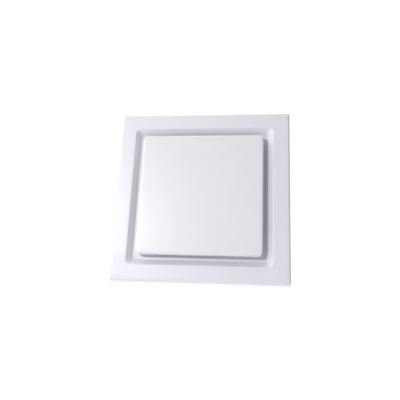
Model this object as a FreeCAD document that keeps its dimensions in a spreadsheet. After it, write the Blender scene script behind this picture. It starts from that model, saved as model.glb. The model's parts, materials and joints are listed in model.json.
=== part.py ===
"""Square-fronted bathroom extractor fan: a recessed centrifugal fan with a 100 mm duct outlet.

Frame: millimetres. The origin is the centre of the wall opening, on the wall's surface.
+Y goes into the wall, +Z is up and +X is to the right of a person who faces the fan.
Lengths along Y are therefore negative in the room and positive inside the wall.
"""
import FreeCAD, Part
import math
import os
import re
import Sketcher

V = FreeCAD.Vector
os.makedirs("parts", exist_ok=True)
doc = FreeCAD.newDocument("bathroom_extractor_fan")

# ------------------------------------------------------------------ driving dimensions
SIZES = {
    # fascia: a moulded square frame with a recess all round its centre
    "fascia_side": 250, "fascia_depth": 14, "fascia_wall": 2, "fascia_corner": 3.4,
    "fascia_edge": 3, "mouth_side": 202.4, "floor_side": 188.5, "recess_depth": 7,
    "recess_corner": 5.6, "inlet_radius": 60,
    # front panel: stands in the recess on four legs
    "panel_side": 176, "panel_proud": 5.75, "panel_wall": 2.2, "panel_rim": 6.5,
    "panel_corner": 6.75, "panel_edge": 2.5, "leg_pitch": 60, "leg_radius": 3.5,
    "socket_radius": 6,
    # finger guard behind the inlet
    "guard_bar": 2, "guard_pitch": 18, "guard_back": 1,
    # sheet-steel housing
    "sheet": 1.2, "box_side": 206, "box_depth": 130, "flange_side": 232, "flange_sheet": 1,
    "seal_width": 5, "tab_reach": 44, "screw_pitch": 80, "fixing_pitch": 111.5,
    "fixing_radius": 2.5,
    # scroll: three arcs about the corners of a small square, each larger than the last
    "scroll_step": 9, "scroll_start": 77.5, "scroll_front": 24, "scroll_wall": 1.2,
    "tongue_radius": 6, "boss_radius": 4,
    # impeller and motor, nested on the Y axis
    "wheel_radius": 65, "wheel_eye": 53, "wheel_front": 34, "wheel_back": 92,
    "blade_count": 36, "blade_wall": 1.2, "disc_wall": 2, "dome_radius": 38.5,
    "motor_radius": 34, "shaft_radius": 3, "core_front": 76, "core_back": 98,
    "rotor_radius": 17.5, "stator_bore": 18, "bearing_radius": 8, "bearing_width": 6,
    # outlet adaptor and its two back-draught flaps
    "duct_x": 51, "duct_y": 76, "spigot_radius": 49, "spigot_wall": 2, "spigot_top": 144,
    "spigot_plate": 104, "shoulder_radius": 50, "shoulder_proud": 0.5, "plate_wall": 2.5,
    "gasket": 1, "flap_radius": 45.6, "flap_wall": 1.4,
    "hinge_height": 116, "pin_radius": 1.5, "knuckle_radius": 3.2,
    # control compartment in the top left corner
    "tray_side": 42, "tray_wall": 1.6, "tray_front": 8, "tray_back": 52, "tray_centre": 80,
    "board_front": 36, "board_wall": 1.6, "entry_depth": 26, "entry_radius": 6,
    # run capacitor in the bottom left corner
    "can_radius": 14, "can_centre": 82, "can_front": 66, "can_back": 120,
}
sheet = doc.addObject("Spreadsheet::Sheet", "dims")
for row, (alias, size) in enumerate(SIZES.items(), 1):
    sheet.set("A%d" % row, alias)
    sheet.set("B%d" % row, str(size))
    sheet.setAlias("B%d" % row, alias)
doc.recompute()

# ------------------------------------------------------------------ helpers
parts = []
GUARD_RANGE = ("-fascia_depth+recess_depth+fascia_wall", "guard_back")


def full(formula):
    """The formula with each driving dimension written as a cell of the sheet."""
    return re.sub(r"[A-Za-z_]\w*",
                  lambda word: "dims." + word.group() if word.group() in SIZES else word.group(),
                  str(formula))


def value(formula):
    """The formula's present value."""
    return float(sheet.evalExpression(full(formula)))


def bind(thing, field, formula):
    thing.setExpression(field, full(formula))


def body(name, several=False):
    """A new sub-part; several=True lets it hold separate solids."""
    made = doc.addObject("PartDesign::Body", name)
    made.Label = name
    made.AllowCompound = several
    parts.append(made)
    return made


def datum(owner, role):
    return next(f for f in owner.Origin.OriginFeatures if f.Role == role)


def sketch(owner, name, role, at):
    """A sketch on an origin plane, at a stated coordinate along that plane's world axis."""
    made = owner.newObject("Sketcher::SketchObject", name)
    made.AttachmentSupport = (datum(owner, role), [""])
    made.MapMode = "FlatFace"
    bind(made, "AttachmentOffset.Base.z", "-(%s)" % at if role == "XZ_Plane" else "(%s)" % at)
    return made


def fix_point(made, curve, end, point):
    """Ties one end of a curve to a place given by two formulas."""
    for kind, formula in zip(("DistanceX", "DistanceY"), point):
        tie = made.addConstraint(
            Sketcher.Constraint(kind, -1, 1, curve, end, value(formula)))
        bind(made, "Constraints[%d]" % tie, formula)


def outline(made, points):
    """A closed loop. A point is (x, y) after a straight run, or (x, y, radius) after an arc
    that turns left for a positive radius and right for a negative one."""
    first, count = made.GeometryCount, len(points)
    places = [V(value(p[0]), value(p[1]), 0) for p in points]
    for k in range(count):
        start, stop = places[k], places[(k + 1) % count]
        target = points[(k + 1) % count]
        if len(target) == 2:
            made.addGeometry(Part.LineSegment(start, stop), False)
            continue
        radius = value(target[2])
        chord = stop - start
        rise = math.sqrt(max(radius ** 2 - chord.Length ** 2 / 4, 0))
        across = V(-chord.y, chord.x, 0).normalize() * math.copysign(1, radius)
        centre = (start + stop) * 0.5 + across * rise
        ends = [math.atan2((p - centre).y, (p - centre).x) for p in (start, stop)]
        if radius < 0:
            ends.reverse()
        circle = Part.Circle(centre, V(0, 0, 1), abs(radius))
        made.addGeometry(Part.ArcOfCircle(circle, *ends), False)
    for k in range(count):
        turns = [len(points[(k + j) % count]) == 3 and value(points[(k + j) % count][2]) < 0
                 for j in (1, 2)]
        made.addConstraint(Sketcher.Constraint(
            "Coincident", first + k, 1 if turns[0] else 2,
            first + (k + 1) % count, 2 if turns[1] else 1))
        fix_point(made, first + k, 2 if turns[0] else 1, points[k])
        target = points[(k + 1) % count]
        if len(target) == 3:
            tie = made.addConstraint(
                Sketcher.Constraint("Radius", first + k, abs(value(target[2]))))
            bind(made, "Constraints[%d]" % tie, "abs(%s)" % target[2])


def rectangle(made, wide, high, x="0", y="0"):
    half_x, half_y = "(%s)/2" % wide, "(%s)/2" % high
    outline(made, [("%s%s%s" % (x, sx, half_x), "%s%s%s" % (y, sy, half_y))
                   for sx, sy in (("-", "-"), ("+", "-"), ("+", "+"), ("-", "+"))])


def circle(made, radius, x="0", y="0"):
    curve = made.addGeometry(
        Part.Circle(V(value(x), value(y), 0), V(0, 0, 1), value(radius)), False)
    fix_point(made, curve, 3, (x, y))
    tie = made.addConstraint(Sketcher.Constraint("Radius", curve, value(radius)))
    bind(made, "Constraints[%d]" % tie, radius)


def feature(owner, kind, name, profile):
    made = owner.newObject("PartDesign::" + kind, name)
    made.Profile = (profile, [""])
    return made


def pad(owner, name, low, high, draw, role="XZ_Plane"):
    """Material between two coordinates; draw(sketch) draws its outline."""
    profile = sketch(owner, name + "_outline", role, high if role == "XZ_Plane" else low)
    draw(profile)
    made = feature(owner, "Pad", name, profile)
    bind(made, "Length", "(%s)-(%s)" % (high, low))
    doc.recompute()
    return made


def cut(owner, name, low, high, draw, role="XZ_Plane", taper=None):
    """A pocket between two coordinates; it must take material away."""
    before = owner.Shape.Volume
    profile = sketch(owner, name + "_outline", role, low if role == "XZ_Plane" else high)
    draw(profile)
    made = feature(owner, "Pocket", name, profile)
    bind(made, "Length", "(%s)-(%s)" % (high, low))
    if taper:
        bind(made, "TaperAngle", taper)
    doc.recompute()
    assert made.Shape.Volume < before - 1e-6, name + " cuts nothing"
    return made


def turn(owner, name, points, kind="Revolution", role="XY_Plane", axis="V_Axis"):
    """A turned piece: points are (radius, y), carried round the Y axis."""
    profile = sketch(owner, name + "_profile", role, "0")
    outline(profile, points)
    made = feature(owner, kind, name, profile)
    made.ReferenceAxis = (profile, [axis])
    made.Angle = 360
    doc.recompute()
    return made


def round_edges(owner, name, base, test, radius, kind="Fillet"):
    """Fillets or chamfers the base's edges whose middle point passes the test."""
    picked = []
    for number, edge in enumerate(base.Shape.Edges, 1):
        middle = edge.valueAt((edge.FirstParameter + edge.LastParameter) / 2)
        if test(middle, edge):
            picked.append("Edge%d" % number)
    made = owner.newObject("PartDesign::" + kind, name)
    made.Base = (base, picked)
    bind(made, "Radius" if kind == "Fillet" else "Size", radius)
    doc.recompute()
    return made


def ring_of(owner, name, features, count):
    """The features repeated round the Y axis."""
    made = owner.newObject("PartDesign::PolarPattern", name)
    made.Originals = features
    made.Axis = (datum(owner, "Y_Axis"), [""])
    made.Angle = 360
    bind(made, "Occurrences", count)
    owner.Tip = made
    doc.recompute()
    return made


def hollow(owner, name, base, y, wall):
    """Thins a block to a shell that is open at its face on the plane y."""
    faces = ["Face%d" % n for n, face in enumerate(base.Shape.Faces, 1)
             if abs(face.CenterOfMass.y - value(y)) < 1e-6]
    made = owner.newObject("PartDesign::Thickness", name)
    made.Base = (base, faces)
    bind(made, "Value", wall)
    made.Reversed = True
    doc.recompute()
    return made


def at_four(points_of):
    """Draws one outline in each of the four corners."""
    def draw(made):
        for sx in "+-":
            for sz in "+-":
                points_of(made, sx, sz)
    return draw


def move(owner, x="0", y="0", z="0"):
    for axis, formula in zip("xyz", (x, y, z)):
        bind(owner, "Placement.Base." + axis, formula)


# ------------------------------------------------------------------ fascia and front panel
def fascia_frame():
    made = body("fascia_frame")
    pad(made, "block", "-fascia_depth", "0", lambda s: rectangle(s, "fascia_side", "fascia_side"))
    recess = cut(made, "recess", "-fascia_depth", "recess_depth-fascia_depth",
                 lambda s: rectangle(s, "mouth_side", "mouth_side"),
                 taper="-atan((mouth_side-floor_side)/2/recess_depth)")
    rim, mouth = value("fascia_side") / 2 - 1, value("mouth_side") / 2 + 0.1
    corners = round_edges(made, "corners", recess,
                          lambda m, e: min(abs(m.x), abs(m.z)) > rim, "fascia_corner")
    slopes = round_edges(made, "recess_corners", corners,
                         lambda m, e: (value("floor_side") / 2 < abs(m.x) < mouth
                                       and abs(abs(m.x) - abs(m.z)) < 1e-4), "recess_corner")
    front = round_edges(made, "front_edge", slopes,
                        lambda m, e: (abs(m.y + value("fascia_depth")) < 1e-4
                                      and max(abs(m.x), abs(m.z)) > rim - 1), "fascia_edge")
    hollow(made, "shell", front, "0", "fascia_wall")
    pad(made, "sockets", "-fascia_depth+recess_depth-5", "-fascia_depth+recess_depth+1",
        at_four(lambda s, sx, sz: circle(s, "socket_radius", sx + "leg_pitch", sz + "leg_pitch")))
    pad(made, "screw_bosses", "-fascia_depth+recess_depth+1", "-2",
        at_four(lambda s, sx, sz: circle(s, "6", sx + "screw_pitch", sz + "screw_pitch")))
    cut(made, "socket_holes", "-fascia_depth", "0",
        at_four(lambda s, sx, sz: circle(s, "leg_radius+0.08", sx + "leg_pitch",
                                         sz + "leg_pitch")))
    cut(made, "inlet", "-fascia_depth", "0", lambda s: circle(s, "inlet_radius"))
    cut(made, "screw_holes", "-fascia_depth", "0",
        at_four(lambda s, sx, sz: circle(s, "2.3", sx + "screw_pitch", sz + "screw_pitch")))


def front_panel():
    made = body("front_panel")
    back = "-fascia_depth-panel_proud+panel_rim"
    plate = pad(made, "block", "-fascia_depth-panel_proud", back,
                lambda s: rectangle(s, "panel_side", "panel_side"))
    rim = value("panel_side") / 2 - 1
    corners = round_edges(made, "corners", plate,
                          lambda m, e: min(abs(m.x), abs(m.z)) > rim, "panel_corner")
    face = value("fascia_depth+panel_proud")
    edge = round_edges(made, "front_edge", corners,
                       lambda m, e: abs(m.y + face) < 1e-4, "panel_edge")
    hollow(made, "shell", edge, back, "panel_wall")
    inside = "-fascia_depth-panel_proud+panel_wall"
    pad(made, "legs", inside, "1",
        at_four(lambda s, sx, sz: circle(s, "leg_radius", sx + "leg_pitch", sz + "leg_pitch")))
    cut(made, "leg_slits", "-8", "1",
        at_four(lambda s, sx, sz: rectangle(s, "1", "9", sx + "leg_pitch", sz + "leg_pitch")))
    pad(made, "ribs", inside, inside + "+2.5",
        lambda s: [rectangle(s, "110", "1.6", "0", z) for z in ("-leg_pitch", "0", "leg_pitch")])


def inlet_guard():
    """Moulded hoop behind the fascia's inlet."""
    made = body("inlet_guard")
    pad(made, "hoop", *GUARD_RANGE,
        lambda s: (circle(s, "inlet_radius+5"), circle(s, "inlet_radius-3")))


def guard_bars():
    """Parallel bars across the hoop that keep fingers away from the impeller."""
    made = body("guard_bars", several=True)

    def bar(s, number):
        far = "(%d*guard_pitch+guard_bar/2)" % abs(number)
        reach = "2*sqrt((inlet_radius-3)*(inlet_radius-3)-%s*%s)" % (far, far)
        return rectangle(s, reach, "guard_bar", "0", "%d*guard_pitch" % number)

    pad(made, "bars", *GUARD_RANGE, lambda s: [bar(s, number) for number in range(-2, 3)])


def fascia_screws():
    made = body("fascia_screws", several=True)
    head = "-fascia_depth+recess_depth"
    for name, low, high, radius in (("head", head + "-2.4", head, "4"),
                                    ("shank", head, "5", "1.95")):
        pad(made, name, low, high,
            lambda s: circle(s, radius, "screw_pitch", "screw_pitch"))
    slot = cut(made, "slot", head + "-3", head + "-1",
               lambda s: rectangle(s, "9", "1.1", "screw_pitch", "screw_pitch"))
    ring_of(made, "four", [made.getObject("head"), made.getObject("shank"), slot], "4")


def fascia_nuts():
    made = body("fascia_nuts", several=True)
    block = pad(made, "nut", "-1", "2.4",
                lambda s: (rectangle(s, "8", "8", "screw_pitch", "screw_pitch"),
                           circle(s, "2", "screw_pitch", "screw_pitch")))
    ring_of(made, "four", [block], "4")


# ------------------------------------------------------------------ housing
def housing_flange():
    """Flat frame round the opening; its four corner tabs carry the fascia's nuts."""
    made = body("housing_flange")
    side, reach = "(box_side/2-sheet)", "tab_reach"
    pad(made, "frame", "-2", "-2+flange_sheet",
        lambda s: (rectangle(s, "flange_side", "flange_side"),
                   outline(s, [("-" + reach, "-" + side), (reach, "-" + side),
                               (side, "-" + reach), (side, reach), (reach, side),
                               ("-" + reach, side), ("-" + side, reach),
                               ("-" + side, "-" + reach)])))
    cut(made, "screw_holes", "-3", "-0.5",
        at_four(lambda s, sx, sz: circle(s, "2.3", sx + "screw_pitch", sz + "screw_pitch")))
    cut(made, "fixing_holes", "-3", "-0.5",
        at_four(lambda s, sx, sz: circle(s, "fixing_radius", sx + "fixing_pitch",
                                         sz + "fixing_pitch")))


def housing_wall(name, side, upright):
    """One sheet wall of the housing: top and bottom run the full width, and the upright
    walls stand between them."""
    made = body(name)
    middle = "%s(box_side-sheet)/2" % side
    if upright:
        pad(made, "wall", "-2+flange_sheet", "box_depth-sheet",
            lambda s: rectangle(s, "sheet", "box_side-2*sheet", middle, "0"))
    else:
        pad(made, "wall", "-2+flange_sheet", "box_depth-sheet",
            lambda s: rectangle(s, "box_side", "sheet", "0", middle))
    return made


def housing_walls():
    housing_wall("housing_bottom", "-", upright=False)
    housing_wall("housing_right", "+", upright=True)
    top = housing_wall("housing_top", "+", upright=False)
    cut(top, "outlet", "box_side/2-sheet-1", "box_side/2+1",
        lambda s: circle(s, "spigot_radius-spigot_wall", "duct_x", "duct_y"), role="XY_Plane")
    cut(top, "outlet_screw_holes", "box_side/2-sheet-1", "box_side/2+1",
        lambda s: [circle(s, "1.6", "duct_x%s42" % sx, "duct_y%s42" % sy)
                   for sx in "+-" for sy in "+-"], role="XY_Plane")
    left = housing_wall("housing_left", "-", upright=True)
    cut(left, "cable_entry", "-box_side/2-1", "-box_side/2+sheet+1",
        lambda s: circle(s, "entry_radius+2", "entry_depth", "tray_centre"), role="YZ_Plane")


def housing_rear():
    made = body("housing_rear")
    pad(made, "plate", "box_depth-sheet", "box_depth",
        lambda s: rectangle(s, "box_side", "box_side"))
    cut(made, "motor_holes", "box_depth-sheet-1", "box_depth+1",
        at_four(lambda s, sx, sz: circle(s, "5", sx + "34*cos(45)", sz + "34*cos(45)")))
    cut(made, "earth_hole", "box_depth-sheet-1", "box_depth+1",
        lambda s: circle(s, "1.95", "-80", "40"))


def wall_seal():
    made = body("wall_seal")
    pad(made, "strip", "-1", "0",
        lambda s: (rectangle(s, "box_side+0.6+2*seal_width", "box_side+0.6+2*seal_width"),
                   rectangle(s, "box_side+0.6", "box_side+0.6")))


def scroll_casing():
    """Tongue, then three arcs, each a scroll_step larger, then a straight run to the outlet."""
    made = body("scroll_casing")
    half, top = "(scroll_step/2)", "(box_side/2-sheet)"
    radii = ["(scroll_start+%d*scroll_step)" % k for k in range(3)]
    nose_x = "(tongue_radius-%s)" % half
    roof = "(scroll_start-%s)" % half

    def wall(s):
        out = "scroll_wall"
        outline(s, [
            (nose_x, top),
            (nose_x, roof + "+tongue_radius"),
            ("-" + half, roof, "-tongue_radius"),
            ("-%s-%s" % (half, radii[0]), "-" + half, radii[0]),
            (half, "-%s-%s" % (half, radii[1]), radii[1]),
            ("%s+%s" % (half, radii[2]), half, radii[2]),
            ("%s+%s" % (half, radii[2]), top),
            ("%s+%s+%s" % (half, radii[2], out), top),
            ("%s+%s+%s" % (half, radii[2], out), half),
            (half, "-%s-%s-%s" % (half, radii[1], out), "-(%s+%s)" % (radii[2], out)),
            ("-%s-%s-%s" % (half, radii[0], out), "-" + half, "-(%s+%s)" % (radii[1], out)),
            ("-" + half, "%s+%s" % (roof, out), "-(%s+%s)" % (radii[0], out)),
            ("%s-%s" % (nose_x, out), "%s+tongue_radius" % roof, "tongue_radius-" + out),
            ("%s-%s" % (nose_x, out), top),
        ])

    pad(made, "wall", "scroll_front", "box_depth-sheet", wall)
    pad(made, "bosses", "scroll_front", "box_depth-sheet",
        lambda s: [circle(s, "boss_radius", x, z) for x, z in BOSSES])
    cut(made, "boss_holes", "scroll_front", "scroll_front+14",
        lambda s: [circle(s, "1.5", x, z) for x, z in BOSSES])


def boss_place(number, angle):
    """Centre of a screw boss on the outside of one of the scroll's arcs."""
    sign_x, sign_z = ("-", "-") if number == 0 else ("+", "-") if number == 1 else ("+", "+")
    reach = "(scroll_start+%d*scroll_step+scroll_wall+boss_radius*0.75)" % number
    return ("%sscroll_step/2+%s*cos(%g)" % (sign_x, reach, angle),
            "%sscroll_step/2+%s*sin(%g)" % (sign_z, reach, angle))


BOSSES = [boss_place(0, 120), boss_place(1, 225), boss_place(2, 315)]


def orifice_plate():
    """Flat plate over the scroll with a bell mouth that leads air into the impeller's eye."""
    made = body("orifice_plate")
    side, notch = "(box_side/2-sheet-0.4)", "(tray_side+3)"
    front = "scroll_front-sheet"
    pad(made, "plate", front, "scroll_front",
        lambda s: outline(s, [("-" + side, "-" + side), (side, "-" + side), (side, side),
                              ("-%s+%s" % (side, notch), side),
                              ("-%s+%s" % (side, notch), "%s-%s" % (side, notch)),
                              ("-" + side, "%s-%s" % (side, notch))]))
    cut(made, "eye", front + "-1", "scroll_front+1", lambda s: circle(s, "wheel_eye+7"))
    turn(made, "bell_mouth", [
        ("wheel_eye+7.5", front), ("wheel_eye+7.5", "scroll_front"),
        ("wheel_eye+6.5", "scroll_front"),
        ("wheel_eye", "scroll_front+6.5", "-6.5"), ("wheel_eye", "wheel_front-1.6"),
        ("wheel_eye-sheet", "wheel_front-1.6"), ("wheel_eye-sheet", "scroll_front+6.5"),
        ("wheel_eye+6.5", front, "6.5+sheet")])
    cut(made, "screw_holes", front + "-1", "scroll_front+1",
        lambda s: [circle(s, "1.9", x, z) for x, z in BOSSES])


def orifice_screws():
    made = body("orifice_screws", several=True)
    front = "scroll_front-sheet"
    pad(made, "heads", front + "-2.2", front,
        lambda s: [circle(s, "3.2", x, z) for x, z in BOSSES])
    pad(made, "shanks", front, "scroll_front+10",
        lambda s: [circle(s, "1.45", x, z) for x, z in BOSSES])
    cut(made, "slots", front + "-3", front + "-1",
        lambda s: [rectangle(s, "7", "0.9", x, z) for x, z in BOSSES])


# ------------------------------------------------------------------ impeller
def impeller():
    """Forward-curved wheel: blades between a back disc with a motor dome and a front band."""
    made = body("impeller", several=True)  # the band stands apart until the blades join it
    hub_front = "wheel_front+8"
    turn(made, "disc", [
        ("9", hub_front), ("28", hub_front), ("dome_radius", hub_front + "+14"),
        ("dome_radius", "wheel_back"), ("wheel_radius", "wheel_back"),
        ("wheel_radius", "wheel_back-disc_wall"),
        ("dome_radius+disc_wall", "wheel_back-disc_wall"),
        ("dome_radius+disc_wall", hub_front + "+13"),
        ("29", hub_front + "-disc_wall"), ("9", hub_front + "-disc_wall")])
    turn(made, "hub", [
        ("6.5", hub_front + "-6"), ("6.5", hub_front + "+8"), ("9.5", hub_front + "+8"),
        ("9.5", hub_front + "-6")])
    turn(made, "band", [
        ("wheel_radius-4", "wheel_front"), ("wheel_radius-4", "wheel_front+4"),
        ("wheel_radius", "wheel_front+4"), ("wheel_radius", "wheel_front")])
    inner, outer, lead = "(wheel_eye+0.8)", "(wheel_radius-0.4)", 6
    across = "(blade_wall/2)"
    blade = pad(made, "blade", "wheel_front+1", "wheel_back-1", lambda s: outline(s, [
        (inner, "-" + across, "-10"), (inner, across),
        ("%s*cos(%d)" % (outer, lead), "%s*sin(%d)+%s" % (outer, lead, across), "10+blade_wall"),
        ("%s*cos(%d)" % (outer, lead), "%s*sin(%d)-%s" % (outer, lead, across)),
    ]))
    ring_of(made, "blades", [blade], "blade_count")


def impeller_bush():
    made = body("impeller_bush")
    front = "wheel_front+8"
    turn(made, "sleeve", [("shaft_radius+0.02", front + "-6"), ("shaft_radius+0.02", front + "+8"),
                          ("6.48", front + "+8"), ("6.48", front + "-6")])


def hub_nut():
    made = body("hub_nut")
    front = "wheel_front+2"
    pad(made, "hexagon", front + "-5", front,
        lambda s: (outline(s, [("6*cos(%d)" % a, "6*sin(%d)" % a) for a in range(0, 360, 60)]),
                   circle(s, "shaft_radius-0.3")))


# ------------------------------------------------------------------ motor
def motor_shaft():
    made = body("motor_shaft")
    turn(made, "rod", [("0", "wheel_front-6"), ("shaft_radius-0.32", "wheel_front-6"),
                       ("shaft_radius-0.32", "wheel_front+2"), ("shaft_radius", "wheel_front+2"),
                       ("shaft_radius", "core_back+17"), ("0", "core_back+17")])


def rotor_core():
    made = body("rotor_core")
    turn(made, "stack", [("shaft_radius", "core_front"), ("shaft_radius", "core_back"),
                         ("rotor_radius", "core_back"), ("rotor_radius", "core_front")])
    bar = cut(made, "bar", "core_front", "core_back",
              lambda s: circle(s, "1.2", "rotor_radius-2.5"))
    ring_of(made, "bars", [bar], "16")


def stator_core():
    made = body("stator_core")
    turn(made, "stack", [("stator_bore", "core_front"), ("stator_bore", "core_back"),
                         ("motor_radius", "core_back"), ("motor_radius", "core_front")])
    slot = cut(made, "slot", "core_front", "core_back",
               lambda s: rectangle(s, "7", "4", "stator_bore+6"))
    ring_of(made, "slots", [slot], "12")


def stator_windings():
    """The end turns: one rounded ring on each side of the stator core."""
    made = body("stator_windings", several=True)
    for name, low, high in (("front_turns", "core_front-7", "core_front"),
                            ("rear_turns", "core_back", "core_back+7")):
        coil = turn(made, name, [("stator_bore+2", low), ("stator_bore+2", high),
                                 ("stator_bore+11", high), ("stator_bore+11", low)])
        edge = value(low if "front" in name else high)
        round_edges(made, name + "_round", coil,
                    lambda m, e: abs(m.y - edge) < 1e-4, "2.5")


def motor_shell(name, core, direction):
    """A turned end bell: a cup that grips the core and holds a bearing on the axis."""
    made = body(name)

    def y(steps):
        return "%s%s%s" % (core, direction, "(%s)" % steps)

    points = [("motor_radius+1.5", y("-4")), ("motor_radius+1.5", y("13")), ("12", y("16")),
              ("12", y("16+1.2")), ("shaft_radius+1.2", y("16+1.2")), ("shaft_radius+1.2", y("16")),
              ("bearing_radius", y("16")), ("bearing_radius", y("16-bearing_width")),
              ("bearing_radius+2", y("16-bearing_width")), ("bearing_radius+2", y("14")),
              ("motor_radius-0.5", y("11.5")), ("motor_radius-0.5", y("0")),
              ("motor_radius", y("0")), ("motor_radius", y("-4"))]
    turn(made, "cup", points)
    low, high = (y("17"), y("11")) if direction == "-" else (y("11"), y("17"))
    vent = cut(made, "vent", low, high, lambda s: rectangle(s, "12", "7", "26"))
    ring_of(made, "vents", [vent], "6")


def bearing(name, low):
    made = body(name)
    turn(made, "race", [("shaft_radius+0.03", low), ("shaft_radius+0.03", low + "+bearing_width"),
                        ("bearing_radius-0.02", low + "+bearing_width"),
                        ("bearing_radius-0.02", low)])


def motor_bracket():
    """Pressed cross that carries the motor's rear shell on four posts."""
    made = body("motor_bracket")
    front = "core_back+17.2"
    pad(made, "level_arm", front, front + "+2", lambda s: rectangle(s, "82", "16"))
    pad(made, "upright_arm", front, front + "+2", lambda s: rectangle(s, "16", "82"))
    cut(made, "centre", front + "-1", front + "+3", lambda s: circle(s, "5"))
    made.Placement = FreeCAD.Placement(V(), FreeCAD.Rotation(V(0, 1, 0), 45))
    cut(made, "holes", front + "-1", front + "+3",
        lambda s: [circle(s, "2.1", x, z) for x, z in (("34", "0"), ("-34", "0"),
                                                      ("0", "34"), ("0", "-34"))])


def four_turned(name, points, radius_out="34"):
    """Four turned pieces about axes parallel to Y, one on each arm of the motor bracket."""
    made = body(name, several=True)
    profile = sketch(made, "profile", "XY_Plane", "0")
    outline(profile, [("%s+(%s)" % (radius_out, x), y) for x, y in points])
    line = profile.addGeometry(
        Part.LineSegment(V(value(radius_out), -10, 0), V(value(radius_out), 10, 0)), True)
    profile.addConstraint(Sketcher.Constraint("Vertical", line))
    first = feature(made, "Revolution", "first", profile)
    first.ReferenceAxis = (profile, ["Axis0"])
    first.Angle = 360
    doc.recompute()
    ring_of(made, "four", [first], "4")
    made.Placement = FreeCAD.Placement(V(), FreeCAD.Rotation(V(0, 1, 0), 45))
    return made


def rubber_mounts():
    wall = "box_depth-sheet"
    four_turned("rubber_mounts", [
        ("2.2", "core_back+19.2"), ("7", "core_back+19.2"), ("7", wall), ("4.9", wall),
        ("4.9", "box_depth"), ("6.5", "box_depth"), ("6.5", "box_depth+1.5"),
        ("2.2", "box_depth+1.5")])


def mount_screws():
    four_turned("mount_screws", [
        ("0", "core_back+14"), ("2", "core_back+14"), ("2", "box_depth+1.5"),
        ("4.5", "box_depth+1.5"), ("4.5", "box_depth+3.5"), ("0", "box_depth+3.5")])


# ------------------------------------------------------------------ outlet
def outlet_plate():
    """Square plate that carries the duct spigot on the housing's top wall."""
    made = body("outlet_plate")
    foot = "box_side/2+gasket"
    pad(made, "plate", foot, foot + "+plate_wall",
        lambda s: (rectangle(s, "spigot_plate", "spigot_plate", "duct_x", "duct_y"),
                   circle(s, "shoulder_radius", "duct_x", "duct_y")), role="XY_Plane")
    cut(made, "screw_holes", foot + "-1", foot + "+plate_wall+1",
        lambda s: [circle(s, "2", "duct_x%s42" % sx, "duct_y%s42" % sy)
                   for sx in "+-" for sy in "+-"], role="XY_Plane")


def outlet_spigot():
    """Round collar, bonded into the plate."""
    made = body("outlet_spigot")
    foot = "box_side/2+gasket"
    bore = "spigot_radius-spigot_wall"
    pad(made, "tube", foot, "spigot_top",
        lambda s: (circle(s, "spigot_radius", "duct_x", "duct_y"),
                   circle(s, bore, "duct_x", "duct_y")), role="XY_Plane")
    pad(made, "shoulder", foot, foot + "+plate_wall+shoulder_proud",
        lambda s: (circle(s, "shoulder_radius", "duct_x", "duct_y"),
                   circle(s, bore, "duct_x", "duct_y")), role="XY_Plane")
    cut(made, "pin_hole", "duct_y-spigot_radius-1", "duct_y+spigot_radius+1",
        lambda s: circle(s, "pin_radius", "duct_x", "hinge_height"))


def flap_stop():
    """Ring bonded inside the collar; the flaps rest on it."""
    made = body("flap_stop")
    pad(made, "ring", "hinge_height-4", "hinge_height-2.2",
        lambda s: (circle(s, "spigot_radius-spigot_wall", "duct_x", "duct_y"),
                   circle(s, "flap_radius-2", "duct_x", "duct_y")), role="XY_Plane")


def outlet_gasket():
    made = body("outlet_gasket")
    pad(made, "foam", "box_side/2", "box_side/2+gasket",
        lambda s: [rectangle(s, "spigot_plate", "spigot_plate", "duct_x", "duct_y"),
                   circle(s, "spigot_radius-spigot_wall", "duct_x", "duct_y")]
        + [circle(s, "2", "duct_x%s42" % sx, "duct_y%s42" % sy) for sx in "+-" for sy in "+-"],
        role="XY_Plane")


def outlet_screws():
    made = body("outlet_screws", several=True)
    seat = "box_side/2+gasket+plate_wall"
    corners = [("duct_x%s42" % sx, "duct_y%s42" % sy) for sx in "+-" for sy in "+-"]
    pad(made, "heads", seat, seat + "+2.2", lambda s: [circle(s, "3.2", x, y) for x, y in corners],
        role="XY_Plane")
    pad(made, "shanks", "box_side/2-6", seat,
        lambda s: [circle(s, "1.55", x, y) for x, y in corners], role="XY_Plane")
    cut(made, "slots", seat + "+1.2", seat + "+3",
        lambda s: [rectangle(s, "7", "0.9", x, y) for x, y in corners], role="XY_Plane")


def flap_pin():
    made = body("flap_pin")
    pad(made, "rod", "duct_y-spigot_radius+0.4", "duct_y+spigot_radius-0.4",
        lambda s: circle(s, "pin_radius-0.04", "duct_x", "hinge_height"))


def damper_flap(name, side, knuckles):
    """A half disc below the hinge line, with knuckles that turn on the pin."""
    made = body(name)
    low = "hinge_height-2"
    edge = "duct_x%s1.2" % side
    reach = "sqrt(flap_radius*flap_radius-1.44)"
    bulge = "flap_radius" if side == "+" else "-flap_radius"
    pad(made, "leaf", low, low + "+flap_wall",
        lambda s: outline(s, [(edge, "duct_y-%s" % reach),
                              ("duct_x%sflap_radius" % side, "duct_y", bulge),
                              (edge, "duct_y+%s" % reach, bulge)]), role="XY_Plane")
    for number, (start, stop) in enumerate(knuckles):
        pad(made, "knuckle_%d" % number, "duct_y%+g" % start, "duct_y%+g" % stop,
            lambda s: circle(s, "knuckle_radius", "duct_x", "hinge_height"))
    doc.recompute()
    return made


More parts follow.
